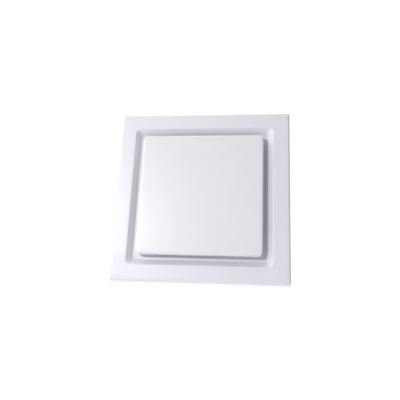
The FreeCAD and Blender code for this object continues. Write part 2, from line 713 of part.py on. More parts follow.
def damper_flaps():
    """The two flaps share the pin: each has knuckles where the other has notches."""
    own = {"-": [(-40, -26), (4, 26)], "+": [(-25.4, -11), (27, 40)]}
    names = {"-": "damper_flap_left", "+": "damper_flap_right"}
    for side, other in (("-", "+"), ("+", "-")):
        made = damper_flap(names[side], side, own[side])
        away = "duct_x-knuckle_radius-0.4" if side == "-" else "duct_x-2"
        far = "duct_x+2" if side == "-" else "duct_x+knuckle_radius+0.4"
        middle, wide = "(%s+(%s))/2" % (away, far), "(%s)-(%s)" % (far, away)
        cut(made, "notches", "hinge_height-6", "hinge_height+6",
            lambda s: [rectangle(s, wide, "%g" % (stop - start + 0.8), middle,
                                 "duct_y%+g" % ((start + stop) / 2))
                       for start, stop in own[other]], role="XY_Plane")
        cut(made, "pin_hole", "duct_y-flap_radius-1", "duct_y+flap_radius+1",
            lambda s: circle(s, "pin_radius", "duct_x", "hinge_height"))


# ------------------------------------------------------------------ controls
def control_tray():
    made = body("control_tray")
    middle_x, middle_z = "-tray_centre", "tray_centre"
    pad(made, "block", "tray_front", "tray_back",
        lambda s: rectangle(s, "tray_side", "tray_side", middle_x, middle_z))
    cut(made, "inside", "tray_front", "tray_back-tray_wall",
        lambda s: rectangle(s, "tray_side-2*tray_wall", "tray_side-2*tray_wall",
                            middle_x, middle_z))
    posts = [("-tray_centre%s15" % sx, "tray_centre%s15" % sz) for sx in "+-" for sz in "+-"]
    pad(made, "posts", "board_front+board_wall", "tray_back-tray_wall",
        lambda s: [circle(s, "2.5", x, z) for x, z in posts])
    pad(made, "cover_boss", "tray_front", "tray_back-tray_wall",
        lambda s: rectangle(s, "7", "7", "-tray_centre-16", "tray_centre-16"))
    cut(made, "cover_hole", "tray_front", "tray_front+12",
        lambda s: circle(s, "1.3", "-tray_centre-16", "tray_centre-16"))
    cut(made, "cable_way", "-tray_centre-tray_side/2-1", "-tray_centre-tray_side/2+tray_wall+1",
        lambda s: circle(s, "entry_radius", "entry_depth", "tray_centre"), role="YZ_Plane")


def control_cover():
    made = body("control_cover")
    middle_x, middle_z = "-tray_centre", "tray_centre"
    lid = pad(made, "lid", "tray_front-2", "tray_front",
              lambda s: rectangle(s, "tray_side", "tray_side", middle_x, middle_z))
    round_edges(made, "soft_edge", lid,
                lambda m, e: abs(m.y - value("tray_front-2")) < 1e-4, "0.8")
    cut(made, "knob_hole", "tray_front-3", "tray_front+1",
        lambda s: circle(s, "5", "-tray_centre+8", "tray_centre+8"))
    cut(made, "screw_hole", "tray_front-3", "tray_front+1",
        lambda s: circle(s, "1.6", "-tray_centre-16", "tray_centre-16"))


def cover_screw():
    made = body("cover_screw")
    seat = "tray_front-2"
    pad(made, "head", seat + "-1.8", seat,
        lambda s: circle(s, "2.8", "-tray_centre-16", "tray_centre-16"))
    pad(made, "shank", seat, "tray_front+10",
        lambda s: circle(s, "1.25", "-tray_centre-16", "tray_centre-16"))
    cut(made, "slot", seat + "-2", seat + "-0.9",
        lambda s: rectangle(s, "6", "0.8", "-tray_centre-16", "tray_centre-16"))


def control_board():
    made = body("control_board")
    side = "tray_side-2*tray_wall-1"
    pad(made, "board", "board_front", "board_front+board_wall",
        lambda s: rectangle(s, side, side, "-tray_centre", "tray_centre"))
    cut(made, "boss_notch", "board_front-1", "board_front+board_wall+1",
        lambda s: rectangle(s, "10", "10", "-tray_centre-17", "tray_centre-17"))


def relay():
    made = body("relay")
    block = pad(made, "case", "board_front-12", "board_front",
                lambda s: rectangle(s, "15", "10", "-tray_centre+9", "tray_centre-12"))
    round_edges(made, "soft", block, lambda m, e: m.y < value("board_front") - 1, "0.8")


def timer_trimmer():
    made = body("timer_trimmer")
    place = ("-tray_centre+8", "tray_centre+8")
    pad(made, "case", "board_front-6", "board_front",
        lambda s: (rectangle(s, "11", "11", *place), circle(s, "2.05", *place)))


def timer_knob():
    made = body("timer_knob")
    place = ("-tray_centre+8", "tray_centre+8")
    pad(made, "stem", "tray_front+4", "board_front-1", lambda s: circle(s, "2", *place))
    pad(made, "cap", "tray_front-4", "tray_front+4", lambda s: circle(s, "4.6", *place))
    cut(made, "slot", "tray_front-4", "tray_front-2.6",
        lambda s: rectangle(s, "7.4", "1.2", *place))


def terminal_block():
    made = body("terminal_block")
    place = ("-tray_centre-10", "tray_centre+6")
    pad(made, "case", "board_front-13", "board_front", lambda s: rectangle(s, "12", "22", *place))
    cut(made, "screw_wells", "board_front-13", "board_front-8",
        lambda s: [circle(s, "2.2", place[0], place[1] + off) for off in ("-7", "", "+7")])


def terminal_screws():
    made = body("terminal_screws", several=True)
    place = ("-tray_centre-10", "tray_centre+6")
    wells = [place[1] + off for off in ("-7", "", "+7")]
    pad(made, "heads", "board_front-11", "board_front-8",
        lambda s: [circle(s, "2", place[0], z) for z in wells])
    cut(made, "slots", "board_front-12", "board_front-10.2",
        lambda s: [rectangle(s, "5", "0.7", place[0], z) for z in wells])


def cable_grommet():
    """Rubber bush in the left wall; the fixed wiring passes through it into the tray."""
    made = body("cable_grommet")
    wall = "box_side/2"
    for name, low, high, radius in (
            ("outer_lip", "-%s-2" % wall, "-" + wall, "entry_radius+4"),
            ("neck", "-" + wall, "-%s+sheet" % wall, "entry_radius+1.95")):
        pad(made, name, low, high,
            lambda s: (circle(s, radius, "entry_depth", "tray_centre"),
                       circle(s, "entry_radius-1", "entry_depth", "tray_centre")),
            role="YZ_Plane")


def run_capacitor():
    made = body("run_capacitor")
    can = turn(made, "can", [("0", "can_front"), ("can_radius", "can_front"),
                             ("can_radius", "can_back"), ("0", "can_back")])
    round_edges(made, "soft", can, lambda m, e: e.Length > 50, "1.5")
    pad(made, "tags", "can_front-7", "can_front+1",
        lambda s: [rectangle(s, "6", "0.8", "0", z) for z in ("-5", "5")])
    move(made, x="-can_centre", z="-can_centre")


def capacitor_clip():
    made = body("capacitor_clip")
    middle = "(can_front+can_back)/2"
    turn(made, "band", [("can_radius+0.05", middle + "-6"), ("can_radius+0.05", middle + "+6"),
                        ("can_radius+1", middle + "+6"), ("can_radius+1", middle + "-6")])
    reach = "box_side/2-sheet-can_centre"
    pad(made, "foot", middle + "-6", middle + "+6",
        lambda s: rectangle(s, "1.2", reach + "-can_radius-0.4", "0",
                            "-can_radius-0.4-(%s-can_radius-0.4)/2" % reach))
    pad(made, "pad", middle + "-6", middle + "+6",
        lambda s: rectangle(s, "22", "1", "0", "-(%s)+0.5" % reach))
    move(made, x="-can_centre", z="-can_centre")


def earth_screw():
    made = body("earth_screw")
    seat = "box_depth-sheet"
    pad(made, "head", seat + "-2.6", seat, lambda s: circle(s, "4", "-80", "40"))
    pad(made, "shank", seat, "box_depth+2", lambda s: circle(s, "1.9", "-80", "40"))
    cut(made, "slot", seat + "-3", seat + "-1.4", lambda s: rectangle(s, "9", "1", "-80", "40"))


# ------------------------------------------------------------------ build, check and write
fascia_frame()
front_panel()
inlet_guard()
guard_bars()
fascia_screws()
fascia_nuts()
housing_flange()
housing_walls()
housing_rear()
wall_seal()
scroll_casing()
orifice_plate()
orifice_screws()
impeller()
impeller_bush()
hub_nut()
motor_shaft()
rotor_core()
stator_core()
stator_windings()
motor_shell("motor_front_shell", "core_front", "-")
motor_shell("motor_rear_shell", "core_back", "+")
bearing("front_bearing", "core_front-16")
bearing("rear_bearing", "core_back+10")
motor_bracket()
rubber_mounts()
mount_screws()
outlet_plate()
outlet_spigot()
flap_stop()
outlet_gasket()
outlet_screws()
flap_pin()
damper_flaps()
control_tray()
control_cover()
cover_screw()
control_board()
relay()
timer_trimmer()
timer_knob()
terminal_block()
terminal_screws()
cable_grommet()
run_capacitor()
capacitor_clip()
earth_screw()

doc.recompute()
for thing in doc.Objects:
    faults = [state for state in thing.State if state in ("Invalid", "Error")]
    assert not faults, "%s: %s" % (thing.Label, faults)
for part in parts:
    assert not part.Shape.isNull() and part.Shape.isValid(), part.Label + " is not a valid shape"
for part in parts:
    part.Shape.exportStep("parts/%s.step" % part.Label)
    box = part.Shape.BoundBox
    print("%-20s solids %2d  volume %9.1f  x %7.1f %7.1f  y %7.1f %7.1f  z %7.1f %7.1f" % (
        part.Label, len(part.Shape.Solids), part.Shape.Volume,
        box.XMin, box.XMax, box.YMin, box.YMax, box.ZMin, box.ZMax))
print("%d sub-parts" % len(parts))
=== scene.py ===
"""Bathroom extractor fan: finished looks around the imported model.

Metres, in the model's own frame: origin at the centre of the fascia on the wall's surface,
+Y into the wall, +Z up. Lengths written in millimetres are turned to metres by MM.
"""
import bmesh
import bpy
import json
import numpy as np
from mathutils import Matrix, Vector


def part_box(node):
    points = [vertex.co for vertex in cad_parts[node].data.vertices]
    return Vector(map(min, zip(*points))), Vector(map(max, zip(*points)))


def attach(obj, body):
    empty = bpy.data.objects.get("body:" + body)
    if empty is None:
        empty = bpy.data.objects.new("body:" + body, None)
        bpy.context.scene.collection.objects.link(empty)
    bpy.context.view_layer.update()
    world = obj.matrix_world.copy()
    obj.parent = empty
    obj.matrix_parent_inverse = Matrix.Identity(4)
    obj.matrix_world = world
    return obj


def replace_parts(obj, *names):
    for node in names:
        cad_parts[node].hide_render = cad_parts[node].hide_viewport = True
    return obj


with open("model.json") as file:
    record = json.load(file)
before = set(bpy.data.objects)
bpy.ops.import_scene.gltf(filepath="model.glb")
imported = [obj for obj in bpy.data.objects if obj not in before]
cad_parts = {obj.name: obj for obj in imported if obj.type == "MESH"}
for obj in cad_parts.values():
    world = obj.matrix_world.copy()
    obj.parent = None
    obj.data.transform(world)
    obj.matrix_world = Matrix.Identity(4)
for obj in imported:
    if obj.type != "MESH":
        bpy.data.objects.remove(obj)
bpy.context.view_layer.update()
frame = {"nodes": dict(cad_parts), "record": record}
MM = 0.001
nodes = frame["nodes"]


# ------------------------------------------------------------------ sizes, in millimetres
def low(node, axis):
    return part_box(node)[0][axis] / MM


def high(node, axis):
    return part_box(node)[1][axis] / MM


FASCIA = high("fascia_frame", 0)                    # half the fascia's side
PANEL = high("front_panel", 0)                      # half the front panel's side
PANEL_FRONT = low("front_panel", 1)
BOX = high("housing_right", 0)                      # half the housing's side
BOX_BACK = high("housing_rear", 1)
SPIGOT_TOP = high("outlet_spigot", 2)
RING_FRONT = low("fascia_frame", 1)
RECESS_FLOOR = low("fascia_screws", 1) + 2.4        # the screw heads stand on the floor
FLOOR_BACK = RECESS_FLOOR + 2.0
MOUTH, FLOOR = 101.2, 94.25                         # half sides of the recess, front and floor
INLET = 60.0                                        # the round inlet's radius
LEG_PITCH, SCREW_PITCH, LEG = 60.0, 80.0, 3.5
GUARD_FRONT, GUARD_BACK = RECESS_FLOOR + 2.0, 1.0
GUARD_BAR, GUARD_PITCH = 2.0, 18.0                  # each bar's width, and from bar to bar
DUCT = (51.0, 76.0)                                 # the spigot's centre, x and y
SPIGOT, SPIGOT_BORE, SHOULDER = 49.0, 47.0, 50.0    # radii of the spigot
PLATE_SCREW = 42.0                                  # from the spigot's centre, x and y
HINGE = 116.0                                       # height of the flap pin
CORNERS = ((-1, -1), (1, -1), (-1, 1), (1, 1))


# ------------------------------------------------------------------ meshes
def mesh_piece(name, points, faces, body, slot, material):
    """One piece from points in millimetres and faces of point numbers."""
    mesh = bpy.data.meshes.new(name)
    mesh.from_pydata((np.asarray(points, float) * MM).tolist(), [], faces)
    mesh.polygons.foreach_set("use_smooth", np.full(len(mesh.polygons), True))
    mesh.validate()
    mesh.update()
    piece = bpy.data.objects.new(name, mesh)
    bpy.context.scene.collection.objects.link(piece)
    piece.data.materials.append(material)
    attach(piece, body)
    return piece


def grid_faces(rows, columns, wrap_rows=False, wrap_columns=False, start=0):
    """Quads of a grid of points stored row by row, joined end to end where it wraps."""
    r = np.arange(rows if wrap_rows else rows - 1)
    c = np.arange(columns if wrap_columns else columns - 1)
    r, c = np.meshgrid(r, c, indexing="ij")
    r2, c2 = (r + 1) % rows, (c + 1) % columns
    quads = np.stack([r * columns + c, r * columns + c2, r2 * columns + c2, r2 * columns + c], -1)
    return (quads.reshape(-1, 4) + start).tolist()


def outward(piece):
    """Turns every face to point away from the inside of its closed shell."""
    work = bmesh.new()
    work.from_mesh(piece.data)
    bmesh.ops.remove_doubles(work, verts=work.verts, dist=1e-7)
    bmesh.ops.recalc_face_normals(work, faces=work.faces)
    work.to_mesh(piece.data)
    work.free()
    piece.data.set_sharp_from_angle(angle=np.radians(38))
    return piece


def joined(shells):
    """Several (points, faces) shells as one list of points and one of faces."""
    points, faces, count = [], [], 0
    for shell_points, shell_faces in shells:
        points.append(np.asarray(shell_points, float).reshape(-1, 3))
        faces += [[corner + count for corner in face] for face in shell_faces]
        count += len(points[-1])
    return np.concatenate(points), faces


def arc(centre, radius, start, stop, steps):
    """Points on a circle's arc, angles in degrees."""
    angle = np.radians(np.linspace(start, stop, steps))
    return np.stack([centre[0] + radius * np.cos(angle), centre[1] + radius * np.sin(angle)], -1)


def rounded_square(half, radius, per_side=14, per_corner=9):
    """Points round a square of half side `half` with arcs of `radius` at its corners."""
    line = half - radius
    runs = []
    for quarter in range(4):
        turn = np.radians(90 * quarter)
        corner = arc((line, line), radius, 0, 90, per_corner)
        side = np.stack([np.linspace(line, -line, per_side + 2)[1:-1],
                         np.full(per_side, half)], -1)
        both = np.concatenate([corner, side])
        spin = np.array([[np.cos(turn), np.sin(turn)], [-np.sin(turn), np.cos(turn)]])
        runs.append(both @ spin)
    return np.concatenate(runs)


def lathe(profile, steps=64, centre=(0, 0, 0), axis="y"):
    """A closed (radius, along) profile carried round an axis: x = r cos a, z = r sin a."""
    profile = np.asarray(profile, float)
    angle = np.linspace(0, 2 * np.pi, steps, endpoint=False)
    r, along = profile[:, 0][:, None], profile[:, 1][:, None] + 0 * angle
    a, b = r * np.cos(angle), r * np.sin(angle)
    order = {"y": (a, along, b), "z": (a, b, along), "x": (along, a, b)}[axis]
    points = np.stack(order, -1).reshape(-1, 3) + np.array(centre, float)
    return points, grid_faces(len(profile), steps, wrap_rows=True, wrap_columns=True)


def soft_box(size, centre, radius=0.6, steps=4):
    """A block with rounded edges: a sphere's grid, each point pushed out by the block's
    half size less the radius."""
    up, around = steps * 2, steps * 4
    lat = np.radians(np.linspace(-90, 90, up * 2))
    lon = np.radians(np.linspace(0, 360, around * 2, endpoint=False) + 360 / around / 4)
    lat, lon = np.meshgrid(lat, lon, indexing="ij")
    ball = np.stack([np.cos(lat) * np.cos(lon), np.cos(lat) * np.sin(lon), np.sin(lat)], -1)
    push = np.sign(np.round(ball, 9)) * (np.array(size) / 2 - radius)
    push[..., 2] = np.sign(lat) * (size[2] / 2 - radius)
    points = (ball * radius + push + np.array(centre)).reshape(-1, 3)
    rows, columns = lat.shape
    faces = grid_faces(rows, columns, wrap_columns=True)
    faces += [list(range(columns))[::-1], list(range((rows - 1) * columns, rows * columns))]
    return points, faces


# ------------------------------------------------------------------ materials
def linear(code):
    """A colour written as sRGB hex, in the linear light that shaders use."""
    channel = np.array([int(code[k:k + 2], 16) for k in (1, 3, 5)]) / 255
    low_part, high_part = channel / 12.92, ((channel + 0.055) / 1.055) ** 2.4
    return (*np.where(channel <= 0.04045, low_part, high_part).tolist(), 1.0)


def add(tree, kind, settings=None, **links):
    """Adds one node; settings fill its fields or inputs, links join other nodes' outputs."""
    node = tree.nodes.new(kind)
    for name, setting in (settings or {}).items():
        if name in node.inputs:
            node.inputs[name].default_value = setting
        else:
            setattr(node, name, setting)
    for name, source in links.items():
        tree.links.new(source, node.inputs[name.replace("_", " ")])
    return node


def surface(name, colour, second, roughness, grain, bump, metallic=0.0, ior=1.5,
            blotch=18.0, stretch=(1, 1, 1), spread=0.06):
    """A surface whose colour drifts between two near tints over `blotch` millimetres, with a
    fine relief of `grain` millimetres and `bump` millimetres deep."""
    material = bpy.data.materials.new(name)
    material.use_nodes = True
    tree = material.node_tree
    tree.nodes.clear()
    where = add(tree, "ShaderNodeTexCoord").outputs["Object"]
    place = add(tree, "ShaderNodeMapping", {"Scale": stretch}, Vector=where).outputs["Vector"]
    drift = add(tree, "ShaderNodeTexNoise", {"Scale": 1000 / blotch, "Detail": 3.0},
                Vector=place)
    fine = add(tree, "ShaderNodeTexNoise", {"Scale": 1000 / grain, "Detail": 2.0},
               Vector=place)
    tint = add(tree, "ShaderNodeMix", {"data_type": "RGBA"}, Factor=drift.outputs["Fac"])
    tint.inputs[6].default_value = linear(colour)
    tint.inputs[7].default_value = linear(second)
    gloss = add(tree, "ShaderNodeMapRange", {"To Min": roughness - spread,
                                             "To Max": roughness + spread},
                Value=drift.outputs["Fac"])
    relief = add(tree, "ShaderNodeBump", {"Strength": 0.6, "Distance": bump * MM},
                 Height=fine.outputs["Fac"])
    shader = add(tree, "ShaderNodeBsdfPrincipled",
                 {"Metallic": metallic, "IOR": ior},
                 Base_Color=tint.outputs[2], Roughness=gloss.outputs["Result"],
                 Normal=relief.outputs["Normal"])
    add(tree, "ShaderNodeOutputMaterial", Surface=shader.outputs["BSDF"])
    return material


# Injection-moulded ABS from a lightly sparked tool: cool white, even, a soft broad sheen.
white_abs = surface("moulded ABS, white, fine spark texture", "#DFE0E6", "#DBDCE3", 0.42,
                    0.9, 0.012)
# The same resin on a polished plate: a shade more neutral and a little glossier.
panel_abs = surface("moulded ABS, white, satin plate", "#E1E2E5", "#DDDEE2", 0.36, 0.9, 0.008)
guard_abs = surface("moulded ABS, pale grey", "#C9CBCE", "#C2C5C8", 0.45, 1.0, 0.015)
grey_abs = surface("moulded ABS, mid grey", "#9EA3A8", "#969BA1", 0.5, 1.0, 0.02)
black_abs = surface("glass-filled nylon, black", "#1A1B1D", "#232427", 0.5, 1.2, 0.03)
flap_abs = surface("thin moulded polypropylene, off white", "#D9DBDC", "#D2D4D6", 0.38, 1.4, 0.01)
# Hot-dipped zinc: grey with soft spangles a centimetre across and slight gloss changes.
galvanised = surface("hot-dip galvanised sheet", "#A9AEB2", "#C1C5C8", 0.36, 2.5, 0.012,
                     metallic=1.0, blotch=9.0, spread=0.12)
zinc = surface("bright zinc-plated steel", "#C3C4C0", "#AEB0AE", 0.28, 0.6, 0.006, metallic=1.0,
               blotch=3.0)
ground_steel = surface("ground bearing steel", "#C9CACC", "#B8BABD", 0.22, 0.5, 0.004,
                       metallic=1.0, blotch=4.0)
brass = surface("turned brass", "#C9A45B", "#B8924A", 0.3, 0.5, 0.006, metallic=1.0, blotch=5.0)
lamination = surface("stacked silicon-steel laminations", "#6D7074", "#595C60", 0.45, 0.5, 0.05,
                     metallic=1.0, blotch=6.0, stretch=(0.05, 1, 0.05))
copper = surface("enamelled copper wire", "#B4672F", "#9C5525", 0.3, 0.6, 0.2, metallic=1.0,
                 blotch=4.0)
motor_paint = surface("baked black enamel", "#26282B", "#1E2022", 0.35, 1.4, 0.02, blotch=25.0)
rubber = surface("moulded EPDM rubber", "#161616", "#1F1F1F", 0.72, 0.9, 0.03)
foam = surface("closed-cell foam strip", "#2B2B2D", "#38383A", 0.9, 1.1, 0.15)
solder_mask = surface("glass-epoxy board, green mask", "#1B5A34", "#164A2B", 0.3, 1.5, 0.02)
relay_blue = surface("moulded PBT, blue", "#2A57A5", "#244D93", 0.35, 1.2, 0.01)
terminal_green = surface("moulded polyamide, green", "#2C8050", "#267346", 0.4, 1.2, 0.01)
knob_yellow = surface("moulded acetal, yellow", "#D8AC3C", "#CDA034", 0.35, 1.0, 0.01)
can_aluminium = surface("drawn aluminium can", "#C6C8CB", "#B6B9BD", 0.32, 0.8, 0.01,
                        metallic=1.0, blotch=14.0, stretch=(1, 0.1, 1))

FINISH = {
    "white_plastic": white_abs, "panel_plastic": panel_abs, "guard_plastic": guard_abs,
    "galvanised_sheet": galvanised, "black_plastic": black_abs, "grey_plastic": grey_abs,
    "flap_plastic": flap_abs, "zinc_screw": zinc, "bright_steel": ground_steel, "brass": brass,
    "lamination_steel": lamination, "enamelled_copper": copper, "motor_paint": motor_paint,
    "rubber": rubber, "foam": foam, "board_laminate": solder_mask, "relay_plastic": relay_blue,
    "terminal_plastic": terminal_green, "knob_plastic": knob_yellow,
    "can_aluminium": can_aluminium,
}
for entry in frame["record"]["subparts"]:
    mesh = nodes[entry["node"]].data
    mesh.materials.clear()
    mesh.materials.append(FINISH[entry["material_slot"]])


# ------------------------------------------------------------------ fascia and front panel
def square_shell(profile, corner_of):
    """A profile of (half side, y) carried round a square; corner_of(half) is the corner's
    radius at that half side, so the corners stay parallel arcs."""
    rows = [np.stack([loop[:, 0], np.full(len(loop), y), loop[:, 1]], -1)
            for half, y in profile
            for loop in [rounded_square(half, corner_of(half))]]
    return np.array(rows)


def fascia_moulding():
    """Rim, ring, sloped recess wall and floor as one profile round a square; on the floor each
    row slides from the square to the round inlet, and the back runs 2 mm behind the front."""
    wall, edge = 2.0, 3.0

    def corner(half):
        inner = 5.6 + (half - FLOOR) * 0.25
        return max(0.4, 3.4 + (half - FASCIA)) if half > MOUTH + 8 else max(inner, 3.6)

    outside = [(FASCIA, 0.0), (FASCIA, -0.6), (FASCIA, RING_FRONT + edge + 2)]
    outside += [tuple(p) for p in arc((FASCIA - edge, RING_FRONT + edge), edge, 0, -90, 9)]
    lip = arc((MOUTH + 1.1, RING_FRONT + 0.9), 0.9, -90, -145, 5)
    slope = [(MOUTH - 0.15, RING_FRONT + 0.95), (FLOOR + 0.9, RECESS_FLOOR - 1.0)]
    foot = arc((FLOOR - 0.6, RECESS_FLOOR - 1.4), 1.4, 30, 90, 5)
    front = outside + [(FASCIA - 8, RING_FRONT), (MOUTH + 6, RING_FRONT)] \
        + [tuple(p) for p in lip] + slope + [tuple(p) for p in foot] + [(FLOOR - 3, RECESS_FLOOR)]
    back = [(FLOOR - 3, FLOOR_BACK), (FLOOR + 1.0, FLOOR_BACK),
            (MOUTH + 1.2, RING_FRONT + wall + 1.4), (MOUTH + 3, RING_FRONT + wall),
            (FASCIA - wall - 2, RING_FRONT + wall), (FASCIA - wall, RING_FRONT + wall + 2),
            (FASCIA - wall, 0.0)]
    first, last = square_shell(front, corner), square_shell(back, corner)
    square = rounded_square(FLOOR - 3, 5.0)
    angle = np.arctan2(square[:, 1], square[:, 0])
    circle = np.stack([np.cos(angle), np.sin(angle)], -1)

    def floor_rows(y, shares):
        rows = []
        for share in shares:
            flat = square * (1 - share) + circle * INLET * share
            rows.append(np.stack([flat[:, 0], np.full(len(flat), y), flat[:, 1]], -1))
        return np.array(rows)

    lip_rows = []
    for radius, y in ((INLET, RECESS_FLOOR), (INLET - 0.5, RECESS_FLOOR + 0.5),
                      (INLET - 0.5, FLOOR_BACK - 0.5), (INLET, FLOOR_BACK)):
        lip_rows.append(np.stack([circle[:, 0] * radius, np.full(len(circle), y),
                                  circle[:, 1] * radius], -1))
    rows = np.concatenate([first, floor_rows(RECESS_FLOOR, (0.2, 0.4, 0.6, 0.8)),
                           np.array(lip_rows), floor_rows(FLOOR_BACK, (0.8, 0.6, 0.4, 0.2)), last])
    shell = (rows.reshape(-1, 3), grid_faces(len(rows), rows.shape[1], True, True))
    collars = []
    for sx, sz in CORNERS:
        profile = [(LEG + 0.1, RECESS_FLOOR + 0.4), (LEG + 0.1, RECESS_FLOOR - 4.4),
                   (LEG + 0.6, RECESS_FLOOR - 5), (5.4, RECESS_FLOOR - 5),
                   (6, RECESS_FLOOR - 4.4), (6, RECESS_FLOOR - 0.8),
                   (6.8, RECESS_FLOOR + 0.1), (6.8, RECESS_FLOOR + 0.4)]
        collars.append(lathe(profile, 32, (sx * LEG_PITCH, 0, sz * LEG_PITCH)))
    piece = mesh_piece("fascia_moulding", *joined([shell] + collars), "housing",
                       "white_plastic", white_abs)
    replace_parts(outward(piece), "fascia_frame")
    return piece


def front_plate():
    """Flat plate with a rolled edge and a short rim, closed at its centre on both faces; the
    four legs are round posts with a flared root and a narrowed tip, and shallow ribs stiffen
    the back."""
    wall, edge, rim_back = 2.2, 2.5, PANEL_FRONT + 6.5
    roll = [tuple(p) for p in arc((PANEL - edge, PANEL_FRONT + edge), edge, -90, 0, 10)]
    inner = [tuple(p) for p in
             arc((PANEL - edge, PANEL_FRONT + edge), edge - 2.0, 0, -90, 5)]
    front = [(2, PANEL_FRONT), (PANEL * 0.5, PANEL_FRONT), (PANEL - edge - 3, PANEL_FRONT)] + roll
    rim = [(PANEL, rim_back - 0.5), (PANEL - 0.4, rim_back), (PANEL - wall + 0.4, rim_back),
           (PANEL - wall, rim_back - 0.5)]
    inside = [(PANEL - wall, PANEL_FRONT + wall + 1.5), (PANEL - wall - 1.5, PANEL_FRONT + wall),
              (PANEL * 0.5, PANEL_FRONT + wall), (2, PANEL_FRONT + wall)]

    def corner(half):
        return max(6.75 + (half - PANEL), min(4.2, half * 0.5))

    rows = square_shell(front + rim + inside, corner)
    columns = rows.shape[1]
    faces = grid_faces(len(rows), columns, wrap_columns=True)
    faces += [list(range(columns)), list(range((len(rows) - 1) * columns, len(rows) * columns))]
    shells = [(rows.reshape(-1, 3), faces)]
    root, tip = PANEL_FRONT + wall - 0.4, 1.0
    for sx, sz in CORNERS:
        post = [(0.6, root), (LEG + 1.2, root), (LEG, root + 1.6), (LEG, tip - 3.2),
                (LEG, tip - 2.6), (LEG - 0.2, tip - 1.6), (LEG - 1.1, tip), (0.6, tip)]
        shells.append(lathe(post, 32, (sx * LEG_PITCH, 0, sz * LEG_PITCH)))
    for z in (-LEG_PITCH, 0, LEG_PITCH):
        shells.append(soft_box((110, 2.9, 1.6), (0, PANEL_FRONT + wall + 1.05, z), 0.4))
    piece = mesh_piece("front_plate", *joined(shells), "front_panel", "panel_plastic", panel_abs)
    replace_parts(outward(piece), "front_panel")
    return piece


# ------------------------------------------------------------------ guard, screws and grommet
def moved(shell, points_of):
    """A shell with its points sent through `points_of`."""
    points, faces = shell
    return points_of(np.asarray(points, float)), faces


def spun(points, degrees):
    """Points turned about the Z axis."""
    c, s = np.cos(np.radians(degrees)), np.sin(np.radians(degrees))
    x, y, z = points.T
    return np.stack([c * x - s * y, s * x + c * y, z], -1)


def guard_grille():
    """The hoop is a lathed bar with a rounded front; each bar across it is a block with rounded
    edges, as long as the hoop's inside is wide at its height."""
    front, back, bar, inner, outer = GUARD_FRONT, GUARD_BACK, 0.9, INLET - 3, INLET + 5
    profile = [(inner, back), (inner, front + bar)]
    profile += [tuple(p) for p in arc((inner + bar, front + bar), bar, 180, 270, 5)]
    profile += [(outer - 0.3, front), (outer, front + 0.3), (outer, back)]
    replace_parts(outward(mesh_piece("guard_hoop", *lathe(profile, 96), "housing", "guard_plastic",
                                   guard_abs)), "inlet_guard")
    shells = []
    for number in range(-2, 3):
        reach = 2 * np.sqrt(inner ** 2 - (abs(number) * GUARD_PITCH + GUARD_BAR / 2) ** 2)
        shells.append(soft_box((reach, back - front, GUARD_BAR),
                               (0, (front + back) / 2, number * GUARD_PITCH), 0.7))
    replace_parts(outward(mesh_piece("rounded_guard_bars", *joined(shells), "housing",
                                   "guard_plastic", guard_abs)), "guard_bars")


def pan_head_screw(radius, height, shank, length):
    """A pan head on the plane z = 0 with a cross recess, above a threaded shank.

    Head: z = height * (1 - (r / radius) ** 5) over a polar grid, less a recess 45 percent of
    the height deep where |x| or |y| is under 0.13 of the radius, out to 0.62 of it.
    Shank: radius swings by 7 percent along the length, once every 0.8 mm."""
    around, rings = 64, 22
    share = np.linspace(0.03, 1, rings)[:, None]
    angle = np.linspace(0, 2 * np.pi, around, endpoint=False)[None, :]
    x, y = share * np.cos(angle) * radius, share * np.sin(angle) * radius
    z = height * (1 - share ** 5) + 0 * angle
    cross = np.minimum(np.abs(x), np.abs(y)) < radius * 0.13
    z = z - np.where(cross & (share < 0.62), height * 0.45, 0)
    z[-1] = 0
    head = np.stack([x, y, z], -1)
    turns = int(length / 0.8) * 4
    depth = -np.linspace(0, length, turns)
    swell = shank * (1 - 0.07 * (np.arange(turns) % 4 == 2)) * np.where(depth < -length + 0.5,
                                                                    0.8, 1)
    body = np.stack([swell[:, None] * np.cos(angle), swell[:, None] * np.sin(angle),
                     depth[:, None] + 0 * angle], -1)
    rows = np.concatenate([head, body])
    faces = grid_faces(len(rows), around, wrap_columns=True)
    faces += [list(range(around)), list(range((len(rows) - 1) * around, len(rows) * around))]
    return rows.reshape(-1, 3), faces


def screws():
    """Pan-head screws that hold the spigot's plate (heads up) and the fascia (heads forward)."""
    seat = high("outlet_plate", 2)
    shells = []
    for number, (sx, sy) in enumerate(CORNERS):
        place = np.array([DUCT[0] + sx * PLATE_SCREW, DUCT[1] + sy * PLATE_SCREW, seat])
        screw = pan_head_screw(3.2, 2.2, 1.5, 9.4)
        shells.append(moved(screw, lambda p: spun(p, 23 + 71 * number) + place))
    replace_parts(outward(mesh_piece("outlet_pan_heads", *joined(shells), "housing", "zinc_screw",
                                   zinc)), "outlet_screws")
    shells = []
    for number, (sx, sz) in enumerate(CORNERS):
        points, faces = pan_head_screw(4.0, 2.4, 1.9, 8.9)
        x, y, z = spun(points, 40 + 53 * number).T
        shells.append((np.stack([x + sx * SCREW_PITCH, RECESS_FLOOR - z, y + sz * SCREW_PITCH],
                                -1), faces))
    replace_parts(outward(mesh_piece("fascia_pan_heads", *joined(shells), "housing", "zinc_screw",
                                   zinc)), "fascia_screws")


def grommet_bush():
    """Lathed about X: a domed lip outside the wall, a groove, and a bore with a soft lead-in."""
    out = -BOX
    profile = [(5, out - 1.6), (5.4, out - 2), (9, out - 2), (9.7, out - 1.6), (10, out - 1),
               (10, out - 0.2), (9.8, out), (7.95, out), (7.95, out + 1.2), (5.4, out + 1.2),
               (5, out + 0.8)]
    piece = mesh_piece("grommet_bush", *lathe(profile, 48, (0, 26, 80), "x"), "housing",
                       "rubber", rubber)
    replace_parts(outward(piece), "cable_grommet")


